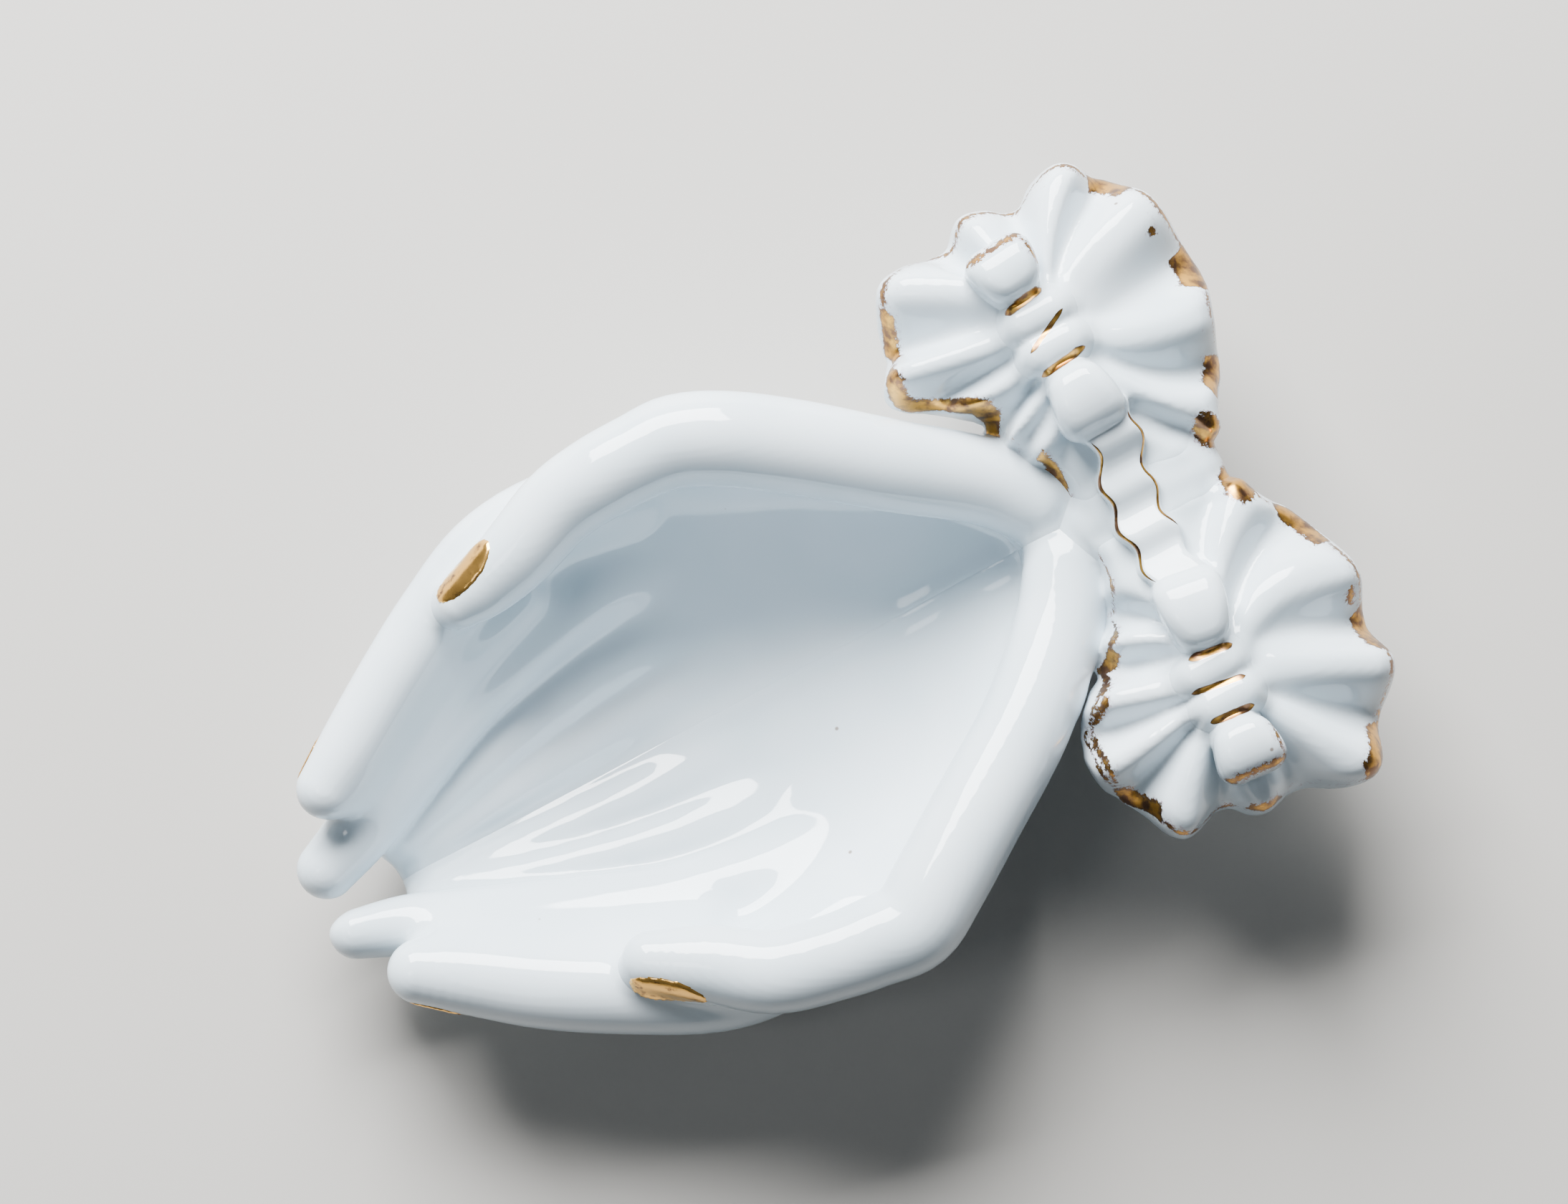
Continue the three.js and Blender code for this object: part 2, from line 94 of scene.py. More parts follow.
# Each limb is a list of (x, y, z, radius), from its root to its tip.
FINGERS = {
    "right": {
        "index": [(-25.8, 5, 12.5, 4.0), (-27.0, -3, 14.6, 4.3), (-26.4, -10.6, 15.6, 4.1),
                  (-23.0, -18.2, 16.4, 3.9), (-19.2, -24.8, 17.0, 3.8), (-15.0, -31.6, 17.4, 3.6),
                  (-11.9, -36.7, 17.6, 3.2)],
        "middle": [(-18.8, 6, 5.6, 4.0), (-18.2, -2, 7.4, 4.1), (-16.8, -9.6, 8.2, 4.0),
                   (-14.4, -18.9, 9.0, 3.9), (-10.8, -27.8, 10.0, 3.9), (-6.8, -36.1, 11.2, 3.6),
                   (-4.7, -41.2, 12.0, 3.2)],
        "ring": [(-11.6, 5, 1.6, 4.0), (-11.0, -2, 3.4, 4.0), (-10.0, -10, 4.2, 3.8), (-8.4, -18, 4.8, 3.6),
                 (-6.4, -26, 5.8, 3.4), (-4.6, -33.0, 7.2, 2.9)],
        "little": [(-4.6, 4, 0.8, 3.4), (-4.5, -3, 2.6, 3.3), (-4.0, -12, 3.4, 3.1), (-3.4, -21, 4.2, 2.9),
                   (-2.2, -31.6, 5.8, 2.7)],
    },
    "left": {
        "index": [(26.2, 5, 12.5, 4.2), (27.0, -3, 14.2, 4.7), (25.6, -10.4, 15.2, 4.9),
                  (21.2, -19.2, 15.8, 4.8), (17.2, -26.0, 16.2, 4.6), (13.4, -31.4, 16.6, 4.2),
                  (9.6, -37.0, 17.2, 3.4)],
        "middle": [(18.8, 6, 5.6, 4.0), (17.7, -2, 7.4, 4.1), (15.9, -9.6, 8.2, 4.0), (12.8, -17.8, 9.0, 3.9),
                   (9.2, -26.3, 10.0, 3.8), (5.2, -35.0, 11.2, 3.4), (2.6, -41.4, 12.0, 3.0)],
        "ring": [(11.6, 5, 1.6, 4.0), (10.8, -2, 3.4, 4.0), (9.5, -10, 4.2, 3.8), (7.6, -18, 4.8, 3.6),
                 (5.4, -26, 5.8, 3.3), (3.4, -32.6, 7.2, 2.9)],
        "little": [(4.6, 4, 0.8, 3.4), (4.5, -3, 2.6, 3.3), (4.0, -12, 3.4, 3.1), (3.3, -21, 4.2, 2.9),
                   (1.8, -31.6, 5.8, 2.7)],
    },
}
THUMBS = {
    "right": [(-3.6, 43.4, 16.6, 4.5), (-8.0, 39.6, 17.8, 4.7), (-14.0, 31.4, 20.4, 4.9),
              (-19.6, 24.2, 22.4, 5.0), (-23.9, 18.0, 23.6, 5.0), (-26.3, 13.0, 24.0, 4.9),
              (-26.8, 8.6, 23.9, 4.6), (-26.8, 3.6, 23.5, 4.5), (-26.2, -1.2, 23.0, 4.3),
              (-24.0, -7.2, 22.3, 4.0), (-22.7, -11.8, 21.7, 3.4), (-22.2, -14.8, 21.2, 2.7)],
    "left": [(4.2, 43.0, 16.6, 4.5), (9.6, 39.0, 17.8, 4.7), (16.6, 31.2, 20.4, 4.9), (22.6, 22.0, 22.6, 5.0),
             (27.0, 15.2, 23.8, 5.0), (29.4, 11.0, 24.1, 4.9), (29.2, 6.8, 23.9, 4.7), (28.6, 2.2, 23.5, 4.5),
             (26.9, -4.2, 22.9, 4.4), (23.0, -9.8, 22.2, 4.0), (20.0, -14.8, 21.6, 3.1)],
}

# The palm is a curved shell: (y, rim distance from the seam, rim height, floor height, underside height).
PALM = [
    (-35, 6.0, 12.0, 6.6, 3.6), (-26, 14.6, 13.6, 5.0, -0.1), (-18, 20.2, 14.2, 4.5, -0.5),
    (-8, 24.2, 15.4, 4.5, -0.5), (2, 26.2, 18.0, 5.2, -0.5), (12, 26.6, 20.0, 6.2, -0.5),
    (20, 23.4, 20.4, 7.4, -0.5), (29, 17.0, 19.2, 9.6, -0.3), (37, 11.0, 17.0, 12.4, 2.6),
    (44, 6.6, 15.6, 14.6, 6.4),
]
RIM = 3.4  # the outside of the palm is this far out from its inner rim
BOWL_POWER = 2.1  # how steeply the bowl turns up towards its rim
BACK_POWER = 3.8  # the same for the back of the hand
BACK_DROP = 1.0  # the outer edge of the back is this far below the rim

# The glaze lies unevenly in the bowl: two crossed waves as (x rate, y rate, phase), in radians a millimetre.
BOWL_WAVE = 0.3
BOWL_WAVES = ((0.27, 0.13, 0.9), (-0.11, 0.22, 2.1))

# The index and middle fingers are joined by clay nearly to their tips: its radius at these of their stations.
WEB = slice(2, 6)
WEB_RADII = (3.9, 3.7, 3.4, 3.2)
WEB_BLEND = 3.2

FINGER_BLEND = 1.1  # how softly two fingers run together
PALM_BLEND = 2.2  # the same for fingers and palm
THUMB_BLEND = 2.6
SEAM_BLEND = 2.4
SEAM_ROUND = 2.0  # rounding of each hand's edge along the seam
PALM_EDGE_ROUND = 1.5  # rounding between the bowl and the back of the palm
PALM_RIM_ROUND = 2.5
PALM_END_ROUND = 2.0

# ------------------------------------------------------------------ shape of the cuffs, bows and ribbon

# A cuff is a fan of pleats round its knot. Its outline is a list of (angle, radius). Its folds are crests (1)
# and valleys (-1), as (angle near the knot, angle at the edge, height), because they run a little askew. Its
# gold is a list of brushed patches along the edge, as (first angle, last angle, width, distance in from it).
# inner is the x at which the cuff ends beside the yoke.
CUFFS = {
    "right": {
        "knot": (-19.3, 53.1),
        "inner": -0.6,
        "outline": [(25, 23), (34, 20), (47, 19), (64, 17.2), (84, 17.2), (100, 16.8), (122, 17.1),
                    (138, 16.5), (149, 16.6), (158, 14.9), (165, 13), (180, 13.7), (192, 14.2), (205, 13.1),
                    (220, 16.5), (230, 17.8), (239, 17.5), (256, 17.1), (271, 18), (278, 15.4), (290, 12.9),
                    (306, 12.6), (320, 13.8), (339, 17.4), (347, 21.4)],
        "folds": [(-12, 8, -0.2), (-6, 19, -0.9), (0, 27, 0.9), (20, 43, -1), (38, 63, 1), (68, 87, -1.1),
                  (122, 112, 1), (143, 131, -1), (154, 145, 1), (168, 169, -1), (190, 190, 0.3),
                  (210, 212, -1), (217, 229, 1), (249, 252, -0.9), (270, 262, 1), (291, 275, -0.8),
                  (311, 284, 0.7), (326, 295, -0.9), (334, 311, 0.9), (338, 317, 0), (341, 324, 0.7),
                  (345, 334, -0.4)],
        "gold": [(22, 341, 0.9, 0), (22, 31, 1.5, 0), (37, 53, 2.4, 0), (54, 58, 0.6, 0), (73, 93, 3.2, 0),
                 (100, 105, 0.9, 2.6), (119, 138, 2.4, 0), (181, 203, 0.9, 0), (236, 259, 1.8, 0),
                 (255, 302, 2.2, 0), (284, 310, 2.3, 0), (306, 322, 0.5, 0), (326, 340, 1.6, 0)],
    },
    "left": {
        "knot": (22.4, 51.6),
        "inner": 4.4,
        "outline": [(11, 14.3), (23, 17.2), (28, 18.1), (48, 17.1), (59, 17.4), (71, 17.5), (82, 16.5),
                    (104, 18.1), (118, 18.6), (129, 19.3), (144, 20.2), (152, 22.8), (193, 21.4), (197, 18),
                    (207, 14.5), (230, 12.7), (247, 13.4), (263, 15.6), (285, 16.5), (302, 16), (318, 16.7),
                    (332, 13.4), (346, 14.2)],
        "folds": [(8, 4, -0.9), (28, 29, 1), (42, 49, -1.1), (74, 68, 1), (110, 85, -1.1), (136, 108, 1),
                  (152, 134, -0.9), (164, 151, 0.9), (172, 162, -0.5), (184, 188, 0), (192, 203, 0.8),
                  (197, 218, -0.8), (204, 228, 0.8), (218, 240, -0.9), (254, 251, 1), (271, 265, -0.9),
                  (283, 279, 1), (296, 293, -1), (308, 314, 1), (323, 334, -0.9), (345, 351, 0.3)],
        "gold": [(12, 140, 0.85, 0), (196, 362, 0.85, 0), (25, 49, 2.2, 0), (50, 70, 0.6, 0),
                 (71, 92, 2.3, 0), (93, 113, 0.5, 0), (92, 99, 0.9, 1.6), (113, 137, 2.2, 0),
                 (135, 147, 0.7, 0), (146, 154, 1.8, 0), (196, 213, 0.9, 0), (211, 228, 1.1, 0),
                 (226, 240, 1.9, 0), (238, 250, 1, 0.6), (249, 263, 1, 1.1), (261, 286, 0.7, 1.1),
                 (285, 309, 1.9, 0), (304, 318, 0.6, 0), (339, 361, 1.2, 0)],
    },
}
CUFF_TOP = 26.0  # height of the pleats beside the knot
CUFF_FALL = 4.4  # the outer edge lies this much lower
CUFF_SIDE = 5.5  # height of the side under that edge
CUFF_UNDER = 10.5  # height of the underside
PLEAT = 2.1  # half the height of a pleat at the edge
FOLD_START = 5.0  # the distance from the knot of the folds' first angles
FOLD_END = 15.5
CUFF_EDGE_ROUND = 2.6
CUFF_UNDER_ROUND = 2.0
CUFF_INNER_ROUND = 1.0
CUFF_WALL_SLOPE = 0.9  # how steeply the field rises away from a cuff's side
UNDER_FLAT = 0.45  # the underside is level out to this share of the outline
VALLEY_SHARPNESS = 1.4  # above 1, valleys are narrower than crests
EDGE_SWELL = 0.4  # the rounded edge bulges this far past the outline

# The yoke joins both wrists and both cuffs: a neck between the cuffs and a stub under each of them.
YOKE_LIMBS = [
    [(2, 48.5, 17.6, 4.6), (2.0, 53, 19.4, 5.0), (1.6, 58.4, 19.2, 4.3)],
    [(-2.5, 46.5, 11, 4), (-6, 48.8, 10.6, 4.4), (-10, 51.4, 11.4, 3.8)],
    [(5, 46.5, 11, 4), (9, 48.8, 10.6, 4.4), (13, 51.2, 11.4, 3.8)],
]

# A bow: the middle of its knot, and where each loop starts and ends.
BOWS = {
    "right": {"knot": (-18.1, 51.8, 26.2), "outer_loop": ((-22.0, 51.4), (-28.9, 50.8)),
              "inner_loop": ((-14.2, 51.9), (-6.2, 52.0))},
    "left": {"knot": (22.4, 50.3, 26.2), "outer_loop": ((25.9, 49.9), (32.8, 49.3)),
             "inner_loop": ((18.9, 50.9), (10.4, 52.2))},
}
# The gold strokes in the creases of each knot: both ends and half the width.
STROKES = {
    "right": [((-21.5, 48.9), (-22.3, 53.6), 0.50), ((-16.7, 49.2), (-19.3, 54.4), 0.27),
              ((-14.1, 49.2), (-14.8, 54.7), 0.45)],
    "left": [((18.8, 48.5), (19.4, 53.4), 0.44), ((22.0, 47.2), (22.9, 53.0), 0.34),
             ((25.5, 47.4), (26.0, 52.4), 0.42)],
}

LOOP_HALF_WIDTH = 3.7
LOOP_HEIGHT = 5.6
LOOP_TOP = 30.3
LOBE_RADIUS = 2.3  # each of the two lobes of a knot
LOBE_REACH = 1.6  # half the length of a lobe's middle line
LOBE_OFFSET = 1.8  # how far a lobe is from the middle of its knot
LOBE_BLEND = 0.4  # how softly the two lobes run together
KNOT_BLEND = 2.2
YOKE_BLEND = 3.0
LOOP_ROUND = 2.0  # rounding of a loop's edges

# (x, y, z) of the top of the ribbon along its middle line
RIBBON = [(-8.4, 53.2, 27.0), (-5.6, 53.2, 27.0), (-1.6, 52.2, 25.9), (2.4, 51.6, 25.7), (5.6, 51.6, 26.1),
          (11.6, 51.9, 27.4)]
RIBBON_HALF = 2.7
RIBBON_HALF_THICK = 1.3
RIPPLE = 0.36  # height of a ripple above and below the mean
RIPPLE_LENGTH = 5.0
RIPPLE_ASIDE = 0.4  # how far the ripples move the ribbon's edges

BOW_BLEND = 0.9
CUFF_BLEND = 2.0
WRIST_BLEND = 0.9
FOOT_ROUND = 0.8

# ------------------------------------------------------------------ distance fields


def smooth_min(a, b, k):
    """The lower of two fields, rounded off over a width of k where they cross."""
    near = np.maximum(k - np.abs(a - b), 0) / k
    return np.minimum(a, b) - near * near * k / 4


def smooth_max(a, b, k):
    return -smooth_min(-a, -b, k)


def hermite(table, place):
    """Smooth values of every column of a list of (place, value, ...) stations."""
    table = np.array(table, float)
    at, values = table[:, 0], table[:, 1:]
    slopes = np.gradient(values, at, axis=0)
    place = np.clip(place, at[0], at[-1])
    i = np.clip(np.searchsorted(at, place, side="right") - 1, 0, len(at) - 2)
    reach = (at[i + 1] - at[i])[..., None]
    t = (place[..., None] - at[i][..., None]) / reach
    start = (2 * t**3 - 3 * t**2 + 1) * values[i] + (t**3 - 2 * t**2 + t) * slopes[i] * reach
    end = (3 * t**2 - 2 * t**3) * values[i + 1] + (t**3 - t**2) * slopes[i + 1] * reach
    return np.moveaxis(start + end, -1, 0).astype(np.float32)


def path_of(stations, steps=5):
    """The smooth middle line of a limb, as (x, y, z, radius) rows."""
    numbered = [(i, *station) for i, station in enumerate(stations)]
    return hermite(numbered, np.linspace(0, len(stations) - 1, steps * (len(stations) - 1) + 1)).T


def window(low, high):
    """The part of the grid between two corners."""
    return tuple(
        slice(*np.searchsorted(AXES[i], (low[i] - FAR, high[i] + FAR))) for i in range(3)
    )


def empty_field():
    return np.full(COUNTS, FAR, np.float32)


def add_round_cone(field, start, end):
    """Joins a round cone between two (x, y, z, radius) points to a field."""
    size = max(start[3], end[3])
    part = window(np.minimum(start, end)[:3] - size, np.maximum(start, end)[:3] + size)
    offset = [(GX, GY, GZ)[i].take(range(*part[i].indices(COUNTS[i])), axis=i) - start[i] for i in range(3)]
    line = end[:3] - start[:3]
    share = sum(offset[i] * line[i] for i in range(3)) / max(float(line @ line), 1e-9)
    share = np.clip(share, 0, 1)
    gap = np.sqrt(sum((offset[i] - share * line[i]) ** 2 for i in range(3)))
    gap -= start[3] + (end[3] - start[3]) * share
    field[part] = np.minimum(field[part], gap)


def limb(stations):
    field = empty_field()
    path = path_of(stations)
    for start, end in zip(path[:-1], path[1:]):
        add_round_cone(field, start, end)
    return field


def joined(fields, k):
    """Several fields run together."""
    total = fields[0]
    for field in fields[1:]:
        total = smooth_min(total, field, k)
    return total


def surface_distance(height, above):
    """Distance from the grid's points to a height surface: positive above it, or below it if above is -1."""
    slope_x, slope_y = np.gradient(height[..., 0], VOXEL)
    steepness = np.sqrt(1 + slope_x**2 + slope_y**2)[..., None]
    return above * (GZ - height) / steepness


def palm(side):
    """The shell of one palm and of the back of the hand below it."""
    across = np.maximum(side * GX, 0)
    columns = [column[None, :, None] for column in hermite(PALM, AXES[1])]
    rim, rim_height, floor, under = columns
    bowl = floor + (rim_height - floor) * np.minimum(across / rim, 1.6) ** BOWL_POWER
    first, second = (np.sin(rate_x * GX + rate_y * GY + phase) for rate_x, rate_y, phase in BOWL_WAVES)
    bowl = bowl + BOWL_WAVE * first * second
    back = under + (rim_height - BACK_DROP - under) * np.minimum(across / (rim + RIM), 1.4) ** BACK_POWER
    shell = smooth_max(surface_distance(bowl, 1), surface_distance(back, -1), PALM_EDGE_ROUND)
    shell = smooth_max(shell, GZ - rim_height, PALM_RIM_ROUND)
    ends = np.maximum(PALM[0][0] - GY, GY - PALM[-1][0])
    return smooth_max(shell, ends, PALM_END_ROUND)


def web(name):
    """The clay between the index and middle fingers."""
    pairs = zip(FINGERS[name]["index"][WEB], FINGERS[name]["middle"][WEB])
    middles = [(np.array(index) + np.array(middle)) / 2 for index, middle in pairs]
    return limb([(*place[:3], radius) for place, radius in zip(middles, WEB_RADII)])


def hand(name):
    side = SIDES[name]
    fingers = joined([limb(stations) for stations in FINGERS[name].values()], FINGER_BLEND)
    fingers = smooth_min(fingers, web(name), WEB_BLEND)
    whole = smooth_min(palm(side), fingers, PALM_BLEND)
    return smooth_max(whole, -side * GX, SEAM_ROUND)


def polar(knot, x, y):
    """Angle in degrees from 0 to 360 and distance round a knot."""
    return np.degrees(np.arctan2(y - knot[1], x - knot[0])) % 360, np.hypot(x - knot[0], y - knot[1])


def turned(angles):
    """The angles with a full turn before and after them."""
    return np.concatenate([np.array(angles, float) + turn for turn in (-360, 0, 360)])


def outline_radius(name, angle):
    angles, radii = zip(*CUFFS[name]["outline"])
    return hermite(list(zip(turned(angles), radii * 3)), angle)[0]


def fold_height(name, angle, reach):
    """Height of a cuff's folds, from -1 in a valley to 1 on a crest: crests are broad and valleys narrow."""
    near, far, heights = zip(*CUFFS[name]["folds"])
    heights = np.array(heights * 3)
    number = np.arange(len(heights))
    share = np.clip((reach - FOLD_START) / (FOLD_END - FOLD_START), 0, 1.3)
    phase = (1 - share) * np.interp(angle, turned(near), number)
    phase = phase + share * np.interp(angle, turned(far), number)
    phase = np.clip(phase, 0, len(heights) - 1.001)
    i = phase.astype(int)
    t = phase - i
    height = heights[i] + (heights[i + 1] - heights[i]) * t * t * (3 - 2 * t)
    down = np.clip((1 - height) / 2, 0, None)
    return (1 - 2 * down**VALLEY_SHARPNESS).astype(np.float32)


def cuff_shape(name, x, y):
    """The outline's radius, the distance from the knot, the share of the way out, and the top's height."""
    angle, reach = polar(CUFFS[name]["knot"], x, y)
    outline = outline_radius(name, angle)
    share = np.minimum(reach / outline, 1.3)
    folds = fold_height(name, angle, reach)
    top = CUFF_TOP - CUFF_FALL * share**2 + PLEAT * np.clip(1.3 * share - 0.2, 0, 1) * folds
    return outline, reach, share, top


def cuff(name):
    side = SIDES[name]
    x, y = np.broadcast_arrays(GX[..., 0], GY[..., 0])
    outline, reach, share, top = (column[..., None] for column in cuff_shape(name, x, y))
    edge = CUFF_TOP - CUFF_FALL
    rise = np.clip((share - UNDER_FLAT) / (1 - UNDER_FLAT), 0, 1) ** 2
    under = CUFF_UNDER + (edge - CUFF_SIDE - CUFF_UNDER) * rise
    wall = (reach - outline - EDGE_SWELL) * CUFF_WALL_SLOPE
    body = smooth_max(surface_distance(top, 1), wall, CUFF_EDGE_ROUND)
    body = smooth_max(body, surface_distance(under, -1), CUFF_UNDER_ROUND)
    return smooth_max(body, side * (CUFFS[name]["inner"] - GX), CUFF_INNER_ROUND)


def rounded_box(offsets, halves, radius):
    """Distance to a rounded box, from each point's offsets from its middle."""
    over = [np.abs(offset) - half + radius for offset, half in zip(offsets, halves)]
    outside = np.sqrt(sum(np.maximum(value, 0) ** 2 for value in over))
    return outside + np.minimum(np.maximum(np.maximum(over[0], over[1]), over[2]), 0) - radius


def loop(name, part):
    """One puffed loop of a bow, narrower at its knot."""
    start, end = (np.array(point) for point in BOWS[name][part])
    length = np.linalg.norm(end - start)
    way = (end - start) / length
    along = (GX - start[0]) * way[0] + (GY - start[1]) * way[1]
    across = (GY - start[1]) * way[0] - (GX - start[0]) * way[1]
    share = np.clip(along / length, 0, 1)
    half_width = LOOP_HALF_WIDTH * (0.62 + 0.38 * np.sin(np.pi / 2 * np.minimum(share * 1.3, 1)))
    dome = 1.5 * (1 - np.sin(np.pi * np.clip(share * 0.85 + 0.12, 0, 1)))
    height = GZ - (LOOP_TOP - LOOP_HEIGHT / 2) + dome * 0.8
    halves = (length / 2, half_width, LOOP_HEIGHT / 2 - dome * 0.3)
    field = rounded_box((along - length / 2, across, height), halves, LOOP_ROUND)
    return np.minimum(field, FAR).astype(np.float32)


def knot(name):
    """Two low lobes side by side, with a crease between them."""
    x, y, z = BOWS[name]["knot"]
    lobes = []
    for way in (-1, 1):
        middle = x + way * LOBE_OFFSET
        lobes.append(limb([(middle, y + end * LOBE_REACH, z, LOBE_RADIUS) for end in (-1, 0, 1)]))
    return joined(lobes, LOBE_BLEND)


def ribbon_place(x, y):
    """Distance from the ribbon's middle line, and the height of its top there, ripples included."""
    line, top = hermite(RIBBON, x)
    phase = 2 * np.pi * np.clip(x, RIBBON[0][0], RIBBON[-1][0]) / RIPPLE_LENGTH
    return y - line - RIPPLE_ASIDE * np.sin(phase), top + RIPPLE * np.cos(phase)


def ribbon():
    aside, top = ribbon_place(AXES[0][:, None], AXES[1][None, :])
    half = (RIBBON[-1][0] - RIBBON[0][0]) / 2
    offsets = (GX - RIBBON[0][0] - half, aside[..., None], GZ - top[..., None] + RIBBON_HALF_THICK)
    field = rounded_box(offsets, (half, RIBBON_HALF, RIBBON_HALF_THICK), 0.6)
    return np.minimum(field, FAR).astype(np.float32)


def all_fields():
    """The own field of every section, and the field of the whole dish."""
    own = {}
    for name in SIDES:
        own[f"{name}_hand"] = hand(name)
        own[f"{name}_thumb"] = limb(THUMBS[name])
        own[f"{name}_cuff_ruffle"] = cuff(name)
        own[f"{name}_bow_knot"] = knot(name)
        for part in ("outer_loop", "inner_loop"):
            own[f"{name}_bow_{part}"] = loop(name, part)
    own["wrist_yoke"] = joined([limb(stations) for stations in YOKE_LIMBS], YOKE_BLEND)
    own["ribbon_band"] = ribbon()

    hands = [smooth_min(own[f"{name}_hand"], own[f"{name}_thumb"], THUMB_BLEND) for name in SIDES]
    cuffs = joined([own["right_cuff_ruffle"], own["wrist_yoke"], own["left_cuff_ruffle"]], CUFF_BLEND)
    body = smooth_min(joined(hands, SEAM_BLEND), cuffs, WRIST_BLEND)
    body = smooth_min(body, own["ribbon_band"], BOW_BLEND)
    for name in SIDES:
        body = smooth_min(body, own[f"{name}_bow_knot"], KNOT_BLEND)
        for part in ("outer_loop", "inner_loop"):
            body = smooth_min(body, own[f"{name}_bow_{part}"], BOW_BLEND)
    return own, smooth_max(body, -GZ, FOOT_ROUND)


# ------------------------------------------------------------------ meshes

SINK = 0.25  # how steeply a section dips under its neighbour past their joint
SECTION_REACH = 2.0  # how far a section may swell past its own shape


def cropped(field):
    """The window of the grid that holds the inside of a field, with room round it."""
    inside = np.argwhere(field < 0)
    low = np.maximum(inside.min(0) - 4, 0)
    high = np.minimum(inside.max(0) + 5, COUNTS)
    return tuple(slice(a, b) for a, b in zip(low, high))


SMOOTH = 0.5  # each round of smoothing moves points this far towards their neighbours
RESTORE = -0.52  # and then this far back, so that the shape doesn't shrink


def relaxed(points, quads, rounds=3):
    """Evens out a mesh a little, so that reflections in it are clean."""
    edges = np.concatenate([quads[:, [i, (i + 1) % 4]] for i in range(4)])
    count = np.bincount(edges[:, 0], minlength=len(points)).astype(float)
    count += np.bincount(edges[:, 1], minlength=len(points))
    for turn in range(2 * rounds):
        total = np.zeros_like(points)
        for i in range(3):
            total[:, i] = np.bincount(edges[:, 0], points[edges[:, 1], i], len(points))
            total[:, i] += np.bincount(edges[:, 1], points[edges[:, 0], i], len(points))
        strength = SMOOTH if turn % 2 == 0 else RESTORE
        points = points + strength * (total / count[:, None] - points)
    return points


def surface_of(field):
    """The zero surface of a field, as points in the drawing frame and quads."""
    part = cropped(field)
    grid = openvdb.FloatGrid(FAR)
    grid.copyFromArray(np.ascontiguousarray(field[part], dtype=np.float32))
    points, quads = grid.convertToQuads()
    start = np.array([axis[s.start] for axis, s in zip(AXES, part)])
    return relaxed(points * VOXEL + start, quads), quads[:, ::-1]


def mesh_object(name, points, faces):
    mesh = bpy.data.meshes.new(name)
    mesh.from_pydata((points * MM + ORIGIN).tolist(), [], faces.tolist())
    mesh.update()
    mesh.shade_smooth()
    piece = bpy.data.objects.new(name, mesh)
    bpy.context.scene.collection.objects.link(piece)
    return piece


def section(name, own, total):
    """The part of the dish's surface that belongs to one section."""
    others = None
    for other, field in own.items():
        if other != name:
            others = field if others is None else np.minimum(others, field)
    field = total + SINK * np.maximum(0, own[name] - others)
    return np.maximum(field, own[name] - SECTION_REACH)


# ------------------------------------------------------------------ gold lustre

NO_GOLD = -3.0
PATCH_ENDS = 5.0  # how quickly a brushed patch narrows at its ends
GOLD_DROP = 0.7  # the gold runs at least this far down a cuff's side
LINE_HALF = 0.17  # half the width of the gold lines on the ribbon
LOOP_LINE = 0.34  # half the width of the gold on the edges of the outer loops
LINE_ENDS = {1: (-7.0, 6.0), -1: (-5.8, 10.2)}  # where the ribbon's far and near lines start and end
WAIST_GOLD = [(4.9, 62.6, 1.9), (-1.4, 62.4, 1.5)]  # the patches on the edge between the cuffs
STROKE_LOW = 20.0  # strokes are only on the top of the dish, above this height
AWAY = 20.0  # a place across or along a stroke that is far outside it


def cuff_gilding(name, points):
    """How far inside the gold on a cuff each point is, in millimetres: below zero is bare porcelain."""
    x, y, z = points.T
    angle, reach = polar(CUFFS[name]["knot"], x, y)
    depth = outline_radius(name, angle) + EDGE_SWELL - reach
    edge = CUFF_TOP - CUFF_FALL + PLEAT * fold_height(name, angle, reach)
    gilding = np.full(len(points), NO_GOLD)
    for first, last, width, inset in CUFFS[name]["gold"]:
        share = ((angle - first) % 360) / (last - first)
        brush = width * np.clip(np.minimum(share, 1 - share) * PATCH_ENDS, -1, 1)
        patch = np.minimum(brush - depth + inset, z - edge + GOLD_DROP + width / 2)
        if inset:
            patch = np.minimum(patch, depth - inset)
        gilding = np.maximum(gilding, patch)
    return gilding


def loop_gilding(name, points):
    """Gold along the end and one side of a bow's outer loop."""
    start, end = (np.array(point) for point in BOWS[name]["outer_loop"])
    length = np.linalg.norm(end - start)
    way = (end - start) / length
    along = (points[:, :2] - start) @ way
    across = points[:, 1] - start[1] - (end - start)[1] * along / length
    end_line = LOOP_LINE - np.abs(length - along - 0.8)
    side_line = LOOP_LINE * 0.5 - np.abs(LOOP_HALF_WIDTH - 0.6 - across)
    lines = np.maximum(end_line, np.minimum(side_line, along - 0.8))
    return np.minimum(lines, points[:, 2] - LOOP_TOP + 2.6)


def strokes_near(name, points):
    """The place across and along the nearest stroke of a knot: both are within 1 inside it."""
    best = np.full(len(points), np.inf)
    place = np.full((len(points), 2), AWAY)
    for number, (start, end, half) in enumerate(STROKES[name]):
        start, end = np.array(start), np.array(end)
        length = np.linalg.norm(end - start)
        way = (end - start) / length
        offset = points[:, :2] - (start + end) / 2
        across = (offset[:, 1] * way[0] - offset[:, 0] * way[1]) * (-1) ** number
        near = np.abs(across) < best
        best[near] = np.abs(across[near])
        place[near, 0] = across[near] / half
        place[near, 1] = (offset @ way)[near] / (length / 2)
    return place


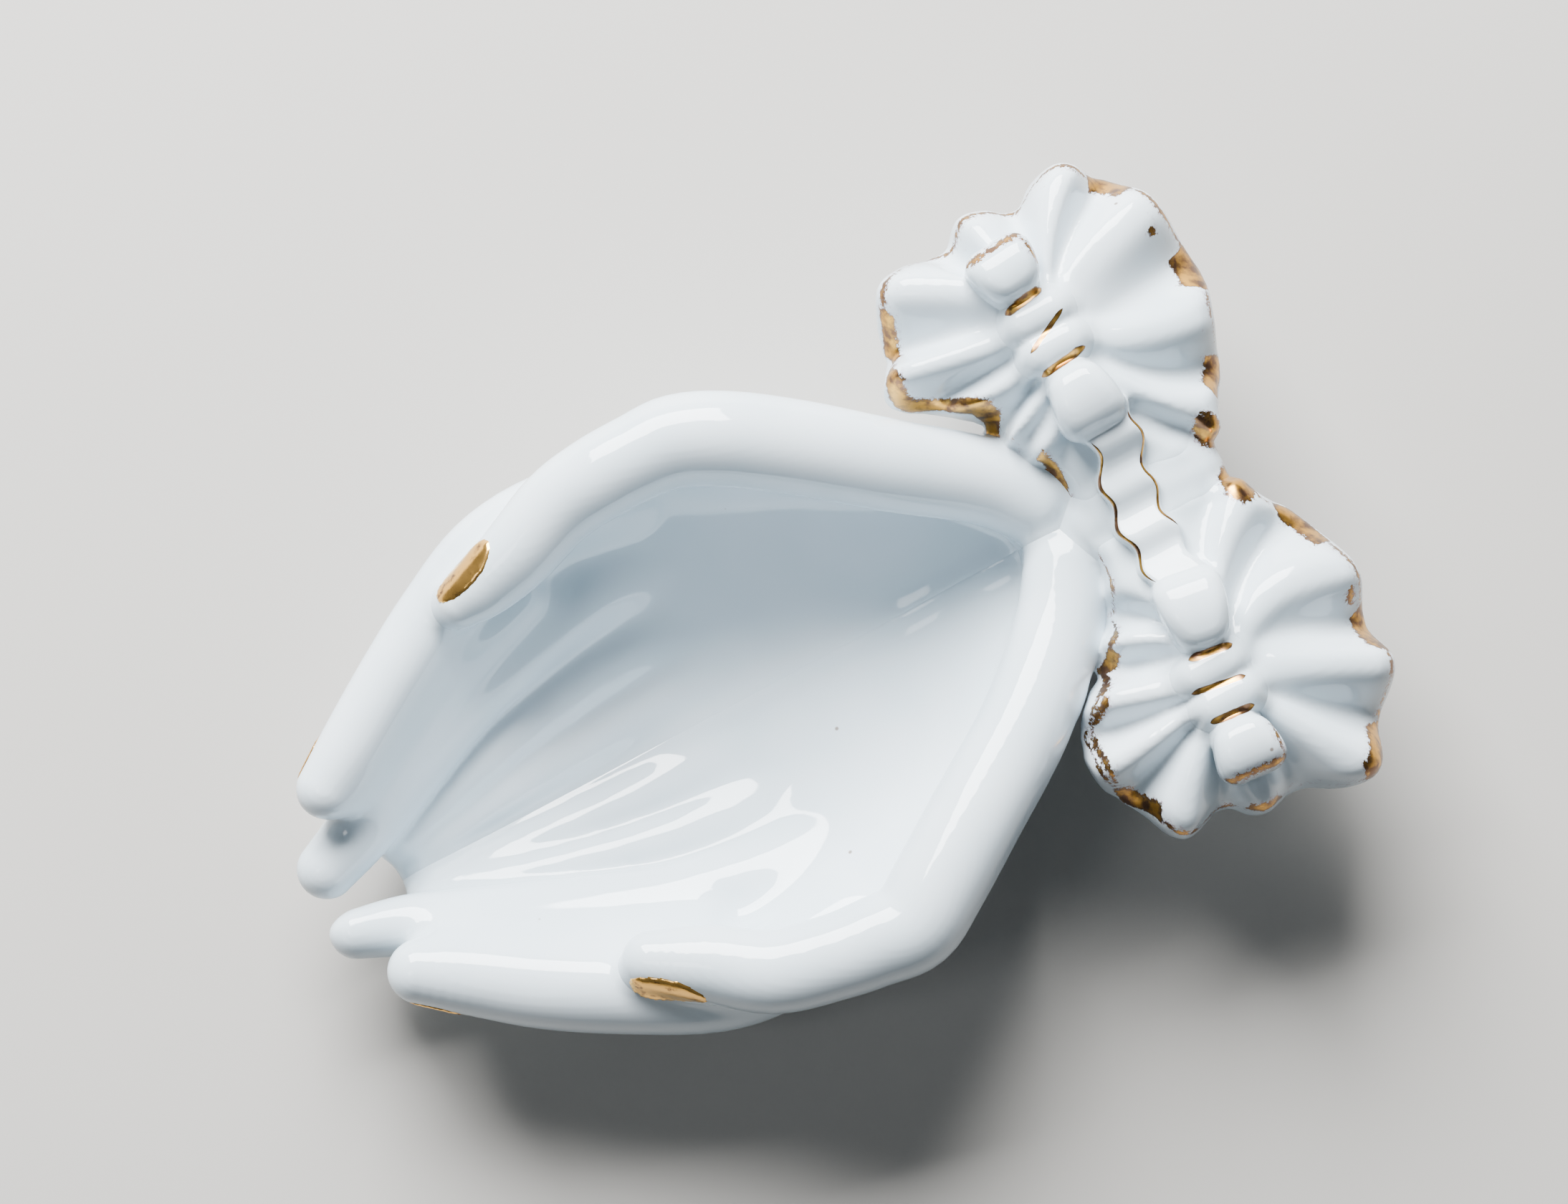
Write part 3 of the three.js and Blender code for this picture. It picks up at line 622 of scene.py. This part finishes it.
def ribbon_strokes(points):
    """The place across and along the ribbon's two gold lines, in the same way."""
    aside, _ = ribbon_place(points[:, 0], points[:, 1])
    place = np.empty((len(points), 2))
    place[:, 0] = (np.abs(aside) - RIBBON_HALF + 0.25) / LINE_HALF
    first, last = (np.where(aside > 0, LINE_ENDS[1][end], LINE_ENDS[-1][end]) for end in (0, 1))
    place[:, 1] = (points[:, 0] - (first + last) / 2) / ((last - first) / 2)
    return place


def waist_gilding(points):
    patch = np.full(len(points), NO_GOLD)
    for x, y, radius in WAIST_GOLD:
        patch = np.maximum(patch, radius - np.hypot((points[:, 0] - x) * 0.8, points[:, 1] - y))
    return np.minimum(patch, points[:, 2] - 19.5)


def gilding(name, points):
    """The two marks of a section: how far inside a gold patch each point is, and its place in a stroke."""
    side = name.split("_")[0]
    patch = np.full(len(points), NO_GOLD)
    stroke = np.full((len(points), 2), AWAY)
    if "cuff" in name:
        patch = cuff_gilding(side, points)
    if "outer_loop" in name:
        patch = loop_gilding(side, points)
    if "yoke" in name or "cuff" in name:
        patch = np.maximum(patch, waist_gilding(points))
    if "bow" in name or "cuff" in name:
        stroke = strokes_near(side, points)
    if "ribbon" in name:
        stroke = ribbon_strokes(points)
    stroke[points[:, 2] < STROKE_LOW] = AWAY
    return patch, stroke


# ------------------------------------------------------------------ materials


class Nodes:
    """A short way to write a node tree."""

    def __init__(self, name):
        self.material = bpy.data.materials.new(name)
        self.material.use_nodes = True
        self.tree = self.material.node_tree
        self.shader = self.tree.nodes["Principled BSDF"]
        self.place = self.tree.nodes.new("ShaderNodeTexCoord").outputs["Object"]

    def connect(self, value, socket):
        if isinstance(value, bpy.types.NodeSocket):
            self.tree.links.new(value, socket)
        else:
            socket.default_value = value

    def noise(self, size_mm, detail=2.0, roughness=0.5):
        """Noise from 0 to 1, with features of about this size."""
        node = self.tree.nodes.new("ShaderNodeTexNoise")
        node.inputs["Scale"].default_value = 1 / (size_mm * MM)
        node.inputs["Detail"].default_value = detail
        node.inputs["Roughness"].default_value = roughness
        self.connect(self.place, node.inputs["Vector"])
        return node.outputs["Fac"]

    def attribute(self, name):
        node = self.tree.nodes.new("ShaderNodeAttribute")
        node.attribute_name = name
        return node

    def spots(self, spacing_mm):
        """Distance to the nearest of many scattered points, in spacings."""
        node = self.tree.nodes.new("ShaderNodeTexVoronoi")
        node.inputs["Scale"].default_value = 1 / (spacing_mm * MM)
        self.connect(self.place, node.inputs["Vector"])
        return node.outputs["Distance"]

    def math(self, operation, a, b=0.0):
        node = self.tree.nodes.new("ShaderNodeMath")
        node.operation = operation
        self.connect(a, node.inputs[0])
        self.connect(b, node.inputs[1])
        return node.outputs["Value"]

    def between(self, value, low, high, out_low=0.0, out_high=1.0):
        """Maps low..high to out_low..out_high, with no overshoot."""
        node = self.tree.nodes.new("ShaderNodeMapRange")
        limits = (value, low, high, out_low, out_high)
        for socket, limit in zip(("Value", "From Min", "From Max", "To Min", "To Max"), limits):
            self.connect(limit, node.inputs[socket])
        return node.outputs["Result"]

    def mix(self, share, a, b):
        """A mix of two colours."""
        node = self.tree.nodes.new("ShaderNodeMix")
        node.data_type = "RGBA"
        self.connect(share, node.inputs["Factor"])
        for value, socket in ((a, node.inputs[6]), (b, node.inputs[7])):
            self.connect((*value, 1) if isinstance(value, tuple) else value, socket)
        return node.outputs[2]

    def bump(self, height, distance_mm, strength):
        node = self.tree.nodes.new("ShaderNodeBump")
        node.inputs["Strength"].default_value = strength
        node.inputs["Distance"].default_value = distance_mm * MM
        self.connect(height, node.inputs["Height"])
        self.connect(node.outputs["Normal"], self.shader.inputs["Normal"])

    def finish(self, colour, roughness, metallic=0.0):
        self.connect(colour, self.shader.inputs["Base Color"])
        self.connect(roughness, self.shader.inputs["Roughness"])
        self.connect(metallic, self.shader.inputs["Metallic"])
        return self.material


WHITE = (0.66, 0.745, 0.81)
WHITE_DEEP = (0.60, 0.70, 0.77)
SPECK = (0.16, 0.10, 0.06)
GOLD = (0.68, 0.36, 0.07)
GOLD_NAIL = (0.92, 0.52, 0.13)
GOLD_WORN = (0.17, 0.09, 0.05)  # where the lustre is thin, at its ragged borders
GOLD_TINT = (0.36, 0.28, 0.34)  # the purple stain that it leaves beyond them


def gold_colour(nodes, inside):
    """Fired lustre: bright where it is thick, brown at its borders."""
    bright = nodes.mix(nodes.between(nodes.noise(1.6, 4), 0.38, 0.56), GOLD_WORN, GOLD)
    return nodes.mix(nodes.between(inside, 0.05, 0.55), GOLD_WORN, bright)


def porcelain_material():
    """White porcelain under a clear glaze, with gold where the patch and stroke marks say."""
    nodes = Nodes("glazed_porcelain")
    patch = nodes.attribute("gold_patch").outputs["Fac"]
    ragged = nodes.math("MULTIPLY", nodes.math("SUBTRACT", nodes.noise(0.6, 6, 0.8), 0.5), 2.2)
    inside = nodes.math("ADD", patch, ragged)

    place = nodes.tree.nodes.new("ShaderNodeSeparateXYZ")
    nodes.connect(nodes.attribute("gold_stroke").outputs["Vector"], place.inputs[0])
    across = nodes.math("ABSOLUTE", place.outputs[0])
    along = nodes.math("POWER", nodes.math("ABSOLUTE", place.outputs[1]), 8.0)
    wander = nodes.math("MULTIPLY", nodes.math("SUBTRACT", nodes.noise(1.6, 3), 0.5), 0.8)
    stroke = nodes.math("SUBTRACT", 1.0, nodes.math("ADD", nodes.math("ADD", across, along), wander))

    gold = nodes.math("MAXIMUM", nodes.between(inside, -0.02, 0.06), nodes.between(stroke, -0.1, 0.15))
    patchy = nodes.between(nodes.noise(0.5, 4), 0.50, 0.62)
    stain = nodes.math("MULTIPLY", nodes.between(inside, -0.55, 0.0), patchy)

    body = nodes.mix(nodes.between(nodes.noise(14.0, 2), 0.35, 0.65), WHITE, WHITE_DEEP)
    speck = nodes.between(nodes.spots(9.0), 0.016, 0.030, 1.0, 0.0)
    body = nodes.mix(nodes.math("MULTIPLY", speck, 0.8), body, SPECK)
    body = nodes.mix(nodes.math("MULTIPLY", stain, 0.75), body, GOLD_TINT)
    colour = nodes.mix(gold, body, gold_colour(nodes, nodes.math("MAXIMUM", inside, stroke)))
    roughness = nodes.between(gold, 0.0, 1.0, 0.06, 0.30)
    uneven = nodes.math("ADD", nodes.noise(6.0, 1), nodes.math("MULTIPLY", nodes.noise(13.0, 1), 4.0))
    nodes.bump(uneven, 0.06, 0.5)
    return nodes.finish(colour, roughness, nodes.math("MULTIPLY", gold, 0.96))


def lustre_material():
    nodes = Nodes("gold_lustre")
    nodes.bump(nodes.noise(0.8, 2), 0.012, 0.3)
    colour = nodes.mix(nodes.between(nodes.noise(1.4, 4, 0.7), 0.30, 0.46), GOLD_WORN, GOLD_NAIL)
    return nodes.finish(colour, nodes.between(nodes.noise(1.5, 2), 0.3, 0.7, 0.14, 0.26), 0.95)


def floor_material():
    nodes = Nodes("pale_floor")
    colour = nodes.mix(nodes.noise(60.0, 3), (0.46, 0.447, 0.43), (0.43, 0.42, 0.40))
    return nodes.finish(colour, 0.6)


# ------------------------------------------------------------------ the pieces of the dish


def put(piece, name, material):
    """Hands a finished piece over in place of its CAD node."""
    piece.data.materials.append(material)
    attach(piece, "root")
    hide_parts(name)


def build_sections(own, total):
    material = porcelain_material()
    for name in own:
        points, quads = surface_of(section(name, own, total))
        piece = mesh_object(name + "_glazed", points, quads)
        patch, stroke = gilding(name, points)
        mark = piece.data.attributes.new("gold_patch", "FLOAT", "POINT")
        mark.data.foreach_set("value", patch.astype(np.float32))
        mark = piece.data.attributes.new("gold_stroke", "FLOAT_VECTOR", "POINT")
        mark.data.foreach_set("vector", np.pad(stroke, ((0, 0), (0, 1))).astype(np.float32).ravel())
        put(piece, name, material)


# Each gilded nail: the length and width of its gold.
NAILS = {"thumb": (9.4, 4.8), "index": (6.2, 3.6), "middle": (5.4, 3.2)}
NAIL_THICK = 0.14


def nail(side, finger, total):
    """A gilded patch that follows its fingertip, where the frame has the nail."""
    node = f"{side}_{finger}_nail_gilding"
    low, high = (np.array(corner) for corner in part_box(node))
    middle = ((low + high) / 2 - ORIGIN) / MM
    stations = THUMBS[side] if finger == "thumb" else FINGERS[side][finger]
    forward = np.array(stations[-1][:3]) - np.array(stations[-2][:3])
    forward = forward / np.linalg.norm(forward)
    offset = (GX - middle[0], GY - middle[1], GZ - middle[2])
    ahead = sum(offset[i] * forward[i] for i in range(3))
    aside = np.sqrt(np.maximum(sum(offset[i] ** 2 for i in range(3)) - ahead**2, 0))
    length, width = NAILS[finger]
    patch = (np.sqrt((ahead / length * 2) ** 2 + (aside / width * 2) ** 2) - 1) * width / 2
    plate = smooth_max(total - NAIL_THICK, patch, 0.2)
    piece = mesh_object(node + "_lustre", *surface_of(np.minimum(plate, FAR)))
    return piece, node


def build_nails(total):
    material = lustre_material()
    for side in SIDES:
        for finger in NAILS:
            piece, node = nail(side, finger, total)
            put(piece, node, material)


# ------------------------------------------------------------------ floor, light and camera

FLOOR_SIZE = 6.0
CAMERA_SENSOR = 36.0


def drawing_to_world(x, y, z):
    return Vector(tuple(ORIGIN + np.array([x, y, z]) * MM))


def make_floor():
    half = FLOOR_SIZE / 2
    corners = [(-half, -half), (half, -half), (half, half), (-half, half)]
    mesh = bpy.data.meshes.new("floor")
    mesh.from_pydata([(x, y, cad_low.z) for x, y in corners], [], [(0, 1, 2, 3)])
    mesh.materials.append(floor_material())
    floor = bpy.data.objects.new("floor", mesh)
    bpy.context.scene.collection.objects.link(floor)


# Each light: direction from the dish, distance, width and height in metres, power in watts and colour.
LIGHTS = {
    "key_window": ((-1.0, 0.20, 0.75), 0.75, 0.56, 0.46, 39.0, (1.0, 1.0, 0.99)),
    "fill_window": ((0.10, 0.95, 0.60), 0.9, 0.30, 0.30, 0.4, (0.88, 0.94, 1.0)),
    "top_panel": ((-0.15, -0.55, 1.0), 1.0, 0.22, 0.22, 1.0, (0.95, 0.98, 1.0)),
}
WORLD_COLOUR = (0.80, 0.88, 0.96)
WORLD_STRENGTH = 0.10


def make_lights():
    middle = drawing_to_world(0, 12, 12)
    for name, (direction, distance, width, height, power, colour) in LIGHTS.items():
        light = bpy.data.lights.new(name, "AREA")
        light.shape = "RECTANGLE"
        light.size = width
        light.size_y = height
        light.energy = power
        light.color = colour
        lamp = bpy.data.objects.new(name, light)
        way = Vector(direction).normalized()
        lamp.location = middle + way * distance
        lamp.rotation_mode = "QUATERNION"
        lamp.rotation_quaternion = way.to_track_quat("Z", "Y")
        bpy.context.scene.collection.objects.link(lamp)
    world = bpy.data.worlds.new("studio")
    world.use_nodes = True
    background = world.node_tree.nodes["Background"]
    background.inputs["Color"].default_value = (*WORLD_COLOUR, 1)
    background.inputs["Strength"].default_value = WORLD_STRENGTH
    bpy.context.scene.world = world


# The view from above: the point that it is centred on, its height above it, and how it is turned and tilted.
VIEW_TARGET = (-6.6, 15.0, 18.0)
VIEW_DISTANCE = 402.0
VIEW_WIDTH = 165.2  # width of the view at the target, in millimetres
VIEW_RIGHT = Vector((0.471, 0.882, 0.0)).normalized()
VIEW_TILT = math.radians(3.5)  # the camera leans this far towards the bottom of the view


def make_camera():
    down = Vector((VIEW_RIGHT.y, -VIEW_RIGHT.x, 0))
    back = (Vector((0, 0, math.cos(VIEW_TILT))) + down * math.sin(VIEW_TILT)).normalized()
    up = back.cross(VIEW_RIGHT)
    data = bpy.data.cameras.new("camera")
    data.sensor_width = CAMERA_SENSOR
    data.lens = CAMERA_SENSOR * VIEW_DISTANCE / VIEW_WIDTH
    data.clip_start = 0.01
    camera = bpy.data.objects.new("camera", data)
    camera.matrix_world = Matrix.Translation(
        drawing_to_world(*VIEW_TARGET) + back * VIEW_DISTANCE * MM
    ) @ Matrix((VIEW_RIGHT, up, back)).transposed().to_4x4()
    bpy.context.scene.collection.objects.link(camera)
    bpy.context.scene.camera = camera


own_fields, whole_dish = all_fields()
build_sections(own_fields, whole_dish)
build_nails(whole_dish)
make_floor()
make_lights()
make_camera()
